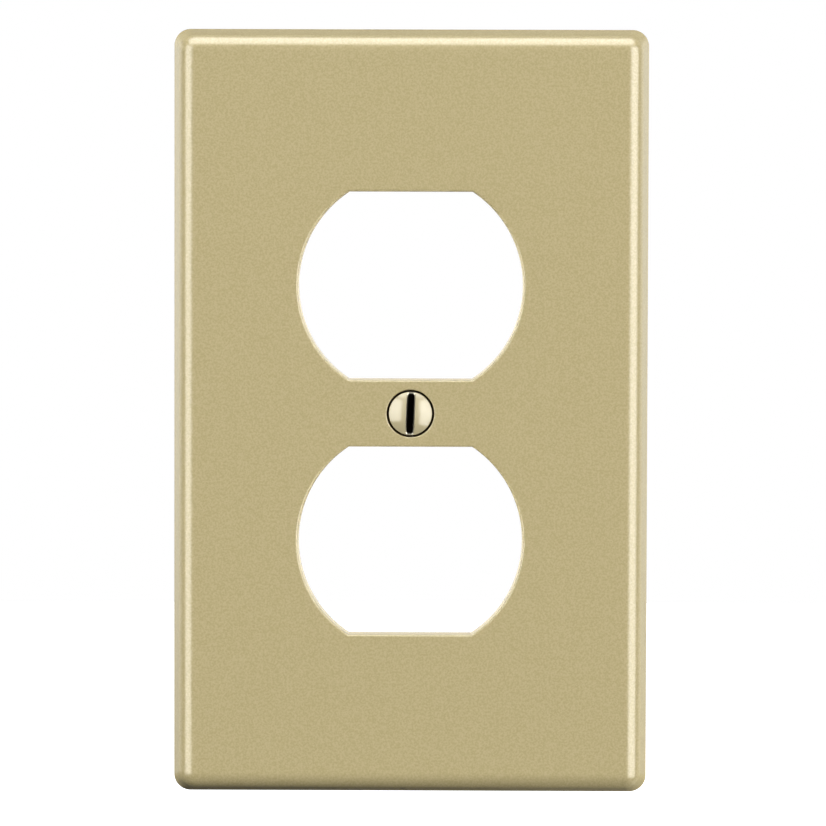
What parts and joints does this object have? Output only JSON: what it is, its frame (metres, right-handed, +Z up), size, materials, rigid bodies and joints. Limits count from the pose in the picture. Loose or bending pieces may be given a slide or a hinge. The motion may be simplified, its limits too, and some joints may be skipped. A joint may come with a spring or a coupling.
{
  "type": "wall plate cover",
  "caption": "One-gang moulded wall plate for a duplex receptacle, with its captive slotted mounting screw and retaining washer.",
  "frame": {"origin": "where the mounting screw's axis meets the wall plane, which is also the back of the plate's rim", "axes": "+Z up, +X to the right as seen from the room, +Y into the wall, so the finished face looks along -Y"},
  "size_m": [0.0724, 0.0169, 0.1168],
  "materials": {
    "ivory_plastic": "smooth moulded ivory thermoplastic, satin to glossy, with a faint orange-peel",
    "ivory_painted_steel": "steel screw, zinc plated, with a glossy ivory baked-on paint on its head",
    "vulcanised_fibre": "dark grey pressed fibre, matt"
  },
  "bodies": {
    "plate": {"face_plate": "ivory_plastic"},
    "retainer": {"screw_retainer": "vulcanised_fibre"},
    "screw": {"mounting_screw": "ivory_painted_steel"}
  },
  "joints": [
    {"name": "screw_travel", "type": "slide", "parent": "plate", "child": "retainer", "axis": [0, -1, 0], "range_m": [0, 0.0037]},
    {"name": "screw_spin", "type": "hinge", "parent": "retainer", "child": "screw", "pos_m": [0, 0, 0], "axis": [0, -1, 0], "continuous": true}
  ]
}
